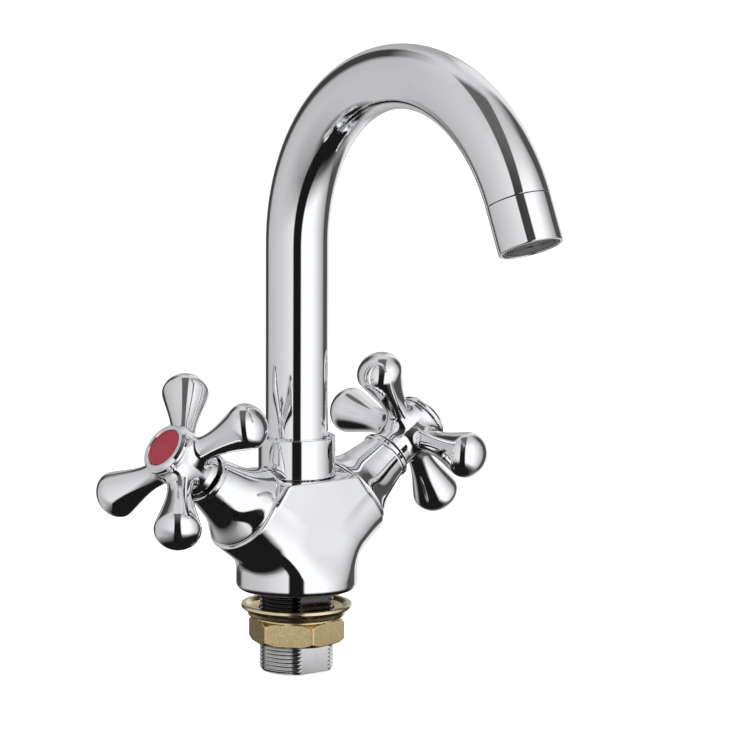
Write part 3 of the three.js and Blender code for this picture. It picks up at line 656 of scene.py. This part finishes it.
HUB_FOOT_R, HUB_TOP_R = 8.6, 9.9
HUB_TOP = CAP_FACE - CAP_DEPTH - GAP
HANDLE_NECK, HANDLE_NECK_AT = 4.7, 13.5
HANDLE_BULB, HANDLE_BULB_AT = 8.9, 31.8
HANDLE_DOME = 7.4
HANDLE_REACH = HANDLE_BULB_AT + HANDLE_DOME
PLUG_R, PLUG_DEPTH = 5.4, 2.7


def handle_field(x, y, z):
    """Hub with four trumpet-shaped arms that end in flat domes, bored for the spindle and the screw."""
    rho = np.hypot(x, y)
    rise = z - HANDLE_PLANE
    t, w = np.maximum(np.abs(x), np.abs(y)), np.minimum(np.abs(x), np.abs(y))
    q = np.hypot(w, rise)
    v = np.clip((t - HANDLE_NECK_AT) / (HANDLE_BULB_AT - HANDLE_NECK_AT), -0.6, 1.2)
    flare = HANDLE_NECK + np.where(v > 0, 4.2 * (1.9 * v ** 2 - 0.9 * v ** 3), 2.5 * v ** 2)
    dome = np.hypot(np.maximum(t - HANDLE_BULB_AT, 0) * HANDLE_BULB / HANDLE_DOME, q) - HANDLE_BULB
    arm = smax((q - flare) * 0.97, dome, 0.35)
    bands = np.interp(z, [HUB_START, HUB_START + 3, HANDLE_PLANE - 3, HUB_TOP - 1],
                      [HUB_FOOT_R, HUB_FOOT_R - 0.25, HUB_FOOT_R + 0.4, HUB_TOP_R])
    hub = smax(rho - bands, smax(z - HUB_TOP, HUB_START - z, 0.5), 0.5)
    shape = smin(hub, arm, 3.8)              # wide fillets between the hub and its arms
    spindle = np.maximum(rho - 4.3, z - HANDLE_PLANE - 0.7)
    lead = np.maximum(rho - 5.9, z - HUB_START - 2)
    screw = rho - 2.7
    plug = np.maximum(rho - PLUG_R - GAP, HANDLE_PLANE + 2.9 - z)
    for hollow in (spindle, lead, screw, plug):
        shape = np.maximum(shape, -hollow)
    return shape


def bell(label, place):
    """Sleeve that narrows in a trumpet curve to a small lip under the handle."""
    wide, waist, lip_r = 16.6, 9.6, 10.1
    foot, lip_foot = ARM_END + GAP, BELL_TOP - 1.6
    third = (BELL_TOP - ARM_END) / 3
    waist_end = (waist, BELL_TOP - 2.4)
    knots = [(wide, foot + 1.2), (12.8, ARM_END + third), (10.67, ARM_END + 2 * third), waist_end]
    trumpet = curve(knots, 12)
    turned(f"bell_trumpet_{label}", [
        (13, foot, 0.1), (wide, foot, 0.7), (wide, foot + 1.15, 0.2), *trumpet, (*waist_end, 0),
        (9.75, lip_foot - 0.3, 0.2), (lip_r, lip_foot, 0.2), (lip_r, BELL_TOP, 0.4), (8.8, BELL_TOP, 0.3),
        (8.8, ARM_END + 6.6, 0.2), (13, ARM_END + 3.6, 0.2),
    ], place, "mixer", f"bell_sleeve_{label}", "chrome", chrome_turned, count=144)


def cap(label, colour, enamel, place):
    """Bevelled chrome cap with a plug behind it and a slightly domed index disc in its face."""
    back, seat, rim, disc = CAP_FACE - CAP_DEPTH, 7.55, 10.3, 7.35
    body = f"{label}_handle"
    turned(f"cap_trim_{label}", [
        (0, back, 0), (PLUG_R - 0.7, back, 0.05), (PLUG_R - 0.7, back - PLUG_DEPTH, 0.1),
        (PLUG_R, back - PLUG_DEPTH, 0.1), (PLUG_R, back, 0.05), (rim, back, 0.35),
        (rim, CAP_FACE - 1.3, 0.5), (rim - 1.1, CAP_FACE, 0.5), (seat + 0.3, CAP_FACE, 0.15),
        (seat, CAP_FACE - 0.4, 0.1), (seat, CAP_FACE - 1.3, 0.1), (0, CAP_FACE - 1.3, 0),
    ], place, body, f"cap_{label}", "chrome", chrome_turned, closed=False)
    crown = [(disc * math.cos(a), CAP_FACE - 0.35 + 0.35 * math.sin(a), 0) for a in np.linspace(0.12, 1.5, 9)]
    turned(f"index_button_{label}", [
        (0, CAP_FACE - 1, 0), (disc, CAP_FACE - 1, 0.1), (disc, CAP_FACE - 0.36, 0), *crown, (0, CAP_FACE, 0),
    ], place, body, f"index_disc_{label}", f"index_{colour}", enamel, closed=False)


handle_edge = HANDLE_REACH + 0.1
handle_shape = shell(handle_field, (-handle_edge, -handle_edge, HUB_START),
                     (handle_edge, handle_edge, HUB_TOP + 1), 0.5)
seat_height, disc_height, driver_height = 2, 3.2, 1.9
valve_stack = seat_height + 2 * disc_height + driver_height + 5 * GAP
clamp_middle = (2 * ARM_END - VALVE_DEPTH + valve_stack + GAP) / 2

for label, side, rest, colour, enamel in (("hot", -1, HOT_TURN, "red", red_enamel),
                                          ("cold", 1, COLD_TURN, "blue", blue_enamel)):
    place, turned_place = along_arm(side), along_arm(side, -side * math.radians(rest))
    points, normals = turned_place(handle_shape[0], handle_shape[2])
    piece(f"cross_grip_{label}", points, handle_shape[1], normals, f"{label}_handle", f"cross_handle_{label}",
          "chrome", chrome_cast)
    bell(label, place)
    cap(label, colour, enamel, turned_place)
    ring_of(f"valve_ring_{label}", 8.9, 10.2, clamp_middle, place, "mixer", f"headwork_ring_{label}")


# ---- Carried-over CAD nodes ---------------------------------------------------------------------

kept = {"spout_foot": valve_brass, "aerator_washer": rubber_black}
for label in ("hot", "cold"):
    kept.update({f"seat_seal_{label}": rubber_black, f"fixed_disc_{label}": ceramic_disc,
                 f"moving_disc_{label}": ceramic_disc, f"headwork_{label}": valve_nickel,
                 f"spindle_{label}": valve_nickel, f"handle_screw_{label}": steel_metal})
for node, material in kept.items():
    data = frame["nodes"][node].data
    data.materials.clear()
    data.materials.append(material)


# ---- Studio -------------------------------------------------------------------------------------

def camera():
    """The photograph's viewing angle: 37 degrees round to the left and 9 degrees down."""
    azimuth, pitch, yaw, roll = (math.radians(a) for a in (-36.99, 8.75, 0.91, 0.25))
    distance, height = 1633.63, 336.36
    focal, frame_width = 4398.4, 732
    data = bpy.data.cameras.new("view")
    data.sensor_width = 36
    data.lens = focal / frame_width * data.sensor_width
    data.clip_start, data.clip_end = 0.05, 50
    obj = bpy.data.objects.new("view", data)
    scene.collection.objects.link(obj)
    heading = azimuth - yaw
    level = math.cos(pitch)
    forward = Vector((-math.sin(heading) * level, math.cos(heading) * level, -math.sin(pitch)))
    right = forward.cross(Vector((0, 0, 1))).normalized()
    up = right.cross(forward)
    right, up = right * math.cos(roll) + up * math.sin(roll), up * math.cos(roll) - right * math.sin(roll)
    place = Vector((distance * math.sin(azimuth), -distance * math.cos(azimuth), height)) * MM
    obj.matrix_world = Matrix(((right.x, up.x, -forward.x, place.x), (right.y, up.y, -forward.y, place.y),
                               (right.z, up.z, -forward.z, place.z), (0, 0, 0, 1)))
    scene.camera = obj


def studio():
    """White walls with dark openings round the object, as in a tent for shiny goods."""
    world = bpy.data.worlds.new("studio")
    scene.world = world
    world.use_nodes = True
    nodes, links = world.node_tree.nodes, world.node_tree.links
    nodes.clear()
    coords = nodes.new("ShaderNodeTexCoord")
    turn = nodes.new("ShaderNodeMapping")
    turn.inputs["Rotation"].default_value = (0, 0, math.radians(126.99))
    links.new(coords.outputs["Generated"], turn.inputs["Vector"])
    parts = nodes.new("ShaderNodeSeparateXYZ")
    links.new(turn.outputs["Vector"], parts.inputs["Vector"])

    def fit(source, low, high):
        node = nodes.new("ShaderNodeMapRange")
        node.inputs["From Min"].default_value = low
        node.inputs["From Max"].default_value = high
        links.new(source, node.inputs["Value"])
        return node.outputs["Result"]

    def ramp(source, stops):
        node = nodes.new("ShaderNodeValToRGB")
        elements = node.color_ramp.elements
        while len(elements) > 1:
            elements.remove(elements[-1])
        for n, (at, level) in enumerate(stops):
            element = elements[0] if n == 0 else elements.new(at)
            element.position = at
            element.color = (level, level, level * 1.01, 1)
        links.new(source, node.inputs["Fac"])
        return node.outputs["Color"]

    def mix(factor, a, b):
        node = nodes.new("ShaderNodeMix")
        node.data_type = "RGBA"
        links.new(factor, node.inputs["Factor"])
        links.new(a, node.inputs["A"])
        links.new(b, node.inputs["B"])
        return node.outputs["Result"]

    angle = nodes.new("ShaderNodeMath")
    angle.operation = "ARCTAN2"
    links.new(parts.outputs["Y"], angle.inputs[0])
    links.new(parts.outputs["X"], angle.inputs[1])
    round_it = fit(angle.outputs[0], -math.pi, math.pi)

    def stops(pairs):
        return [((a + 180) / 360, level) for a, level in pairs]

    wall = ramp(round_it, stops([
        (-180, 0.4), (-162, 0.5), (-156, 0.05), (-134, 0.05), (-124, 0.5), (-60, 0.66), (-22, 0.8), (20, 1.05),
        (58, 1.05), (84, 0.72), (108, 0.38), (114, 0.07), (140, 0.09), (150, 0.85), (166, 0.8), (172, 0.4),
        (180, 0.4),
    ]))
    ceiling = ramp(round_it, stops([
        (-180, 0.7), (-60, 0.6), (-24, 0.6), (26, 0.68), (110, 0.56), (180, 0.7),
    ]))
    ground = ramp(round_it, stops([(-180, 0.55), (-100, 0.55), (-40, 0.35), (0, 0.1), (50, 0.2), (100, 0.2),
                                   (180, 0.55)]))
    tilted = nodes.new("ShaderNodeMath")
    tilted.operation = "MULTIPLY_ADD"
    links.new(parts.outputs["Y"], tilted.inputs[0])
    tilted.inputs[1].default_value = 0.3
    links.new(parts.outputs["Z"], tilted.inputs[2])
    low = ramp(fit(tilted.outputs[0], -1, 1), [(0.13, 0), (0.29, 1)])
    high = ramp(fit(parts.outputs["Z"], -1, 1), [(0.80, 0), (0.95, 1)])
    light = mix(high, mix(low, ground, wall), ceiling)
    sideways = nodes.new("ShaderNodeMath")
    sideways.operation = "ABSOLUTE"
    links.new(parts.outputs["Y"], sideways.inputs[0])
    slit = nodes.new("ShaderNodeMath")
    slit.operation = "MULTIPLY"
    links.new(fit(sideways.outputs[0], 0.27, 0.22), slit.inputs[0])
    links.new(fit(parts.outputs["X"], -0.25, -0.1), slit.inputs[1])
    depth = ramp(fit(parts.outputs["Z"], -1, 1), [(0.6, 0.01), (0.8, 0.06), (0.95, 0.13)])
    light = mix(slit.outputs[0], light, depth)
    path = nodes.new("ShaderNodeLightPath")
    plain = nodes.new("ShaderNodeRGB")
    plain.outputs[0].default_value = (1, 1, 1, 1)
    background = nodes.new("ShaderNodeBackground")
    links.new(mix(path.outputs["Is Camera Ray"], light, plain.outputs[0]), background.inputs["Color"])
    output = nodes.new("ShaderNodeOutputWorld")
    links.new(background.outputs["Background"], output.inputs["Surface"])


def floor():
    """Pale floor just under the shank's end, as a flat round sheet."""
    level = SHANK_LOW[2] - 0.4
    line = np.array([(0, level)] + [(r, level) for r in np.geomspace(40, 6000, 24)])
    points, faces, _ = revolve(line[::-1], False, straight, 96)
    mesh = bpy.data.meshes.new("floor")
    mesh.from_pydata((points * MM).tolist(), [], faces)
    obj = bpy.data.objects.new("floor", mesh)
    scene.collection.objects.link(obj)
    pale = finish_of("floor_pale", (0.86, 0.86, 0.86), 0, (0.6, 0.75), 30, 0.02, 200)
    shader = pale.node_tree.nodes["Principled BSDF"]
    shader.inputs["Emission Color"].default_value = (1, 1, 1, 1)
    shader.inputs["Emission Strength"].default_value = 0.75
    mesh.materials.append(pale)
    obj.visible_glossy = False


def dark_stand():
    """Black mat under the faucet that fades out at its edge; only the chrome sees it."""
    level = SHANK_LOW[2] - 30
    line = np.array([(0, level)] + [(r, level) for r in np.linspace(40, 200, 9)])
    points, faces, _ = revolve(line[::-1], False, straight, 96)
    mesh = bpy.data.meshes.new("dark_stand")
    mesh.from_pydata((points * MM).tolist(), [], faces)
    obj = bpy.data.objects.new("dark_stand", mesh)
    scene.collection.objects.link(obj)
    mat = finish_of("mat_black", (0.01, 0.01, 0.01), 0, (0.8, 0.9), 30, 0.02, 200, specular=0)
    nodes, links = mat.node_tree.nodes, mat.node_tree.links
    coords = nodes.new("ShaderNodeTexCoord")
    distance = nodes.new("ShaderNodeVectorMath")
    distance.operation = "LENGTH"
    links.new(coords.outputs["Object"], distance.inputs[0])
    fade = nodes.new("ShaderNodeMapRange")
    fade.inputs["From Min"].default_value, fade.inputs["From Max"].default_value = 0.19, 0.12
    links.new(distance.outputs["Value"], fade.inputs["Value"])
    links.new(fade.outputs["Result"], nodes["Principled BSDF"].inputs["Alpha"])
    mesh.materials.append(mat)
    obj.visible_camera = obj.visible_diffuse = obj.visible_shadow = False


def soft_light(name, place, size, power):
    data = bpy.data.lights.new(name, "AREA")
    data.size = size
    data.energy = power
    obj = bpy.data.objects.new(name, data)
    scene.collection.objects.link(obj)
    obj.location = place
    middle = (cad_bounds[0] + cad_bounds[1]) / 2
    obj.rotation_euler = (middle - obj.location).to_track_quat("-Z", "Y").to_euler()
    obj.visible_glossy = False


camera()
studio()
floor()
dark_stand()
soft_light("key_light", Vector((-0.9, -0.7, 1.3)), 1.0, 6)
soft_light("fill_light", Vector((1.2, -0.8, 0.9)), 1.2, 3)
scene.view_settings.view_transform = "Standard"
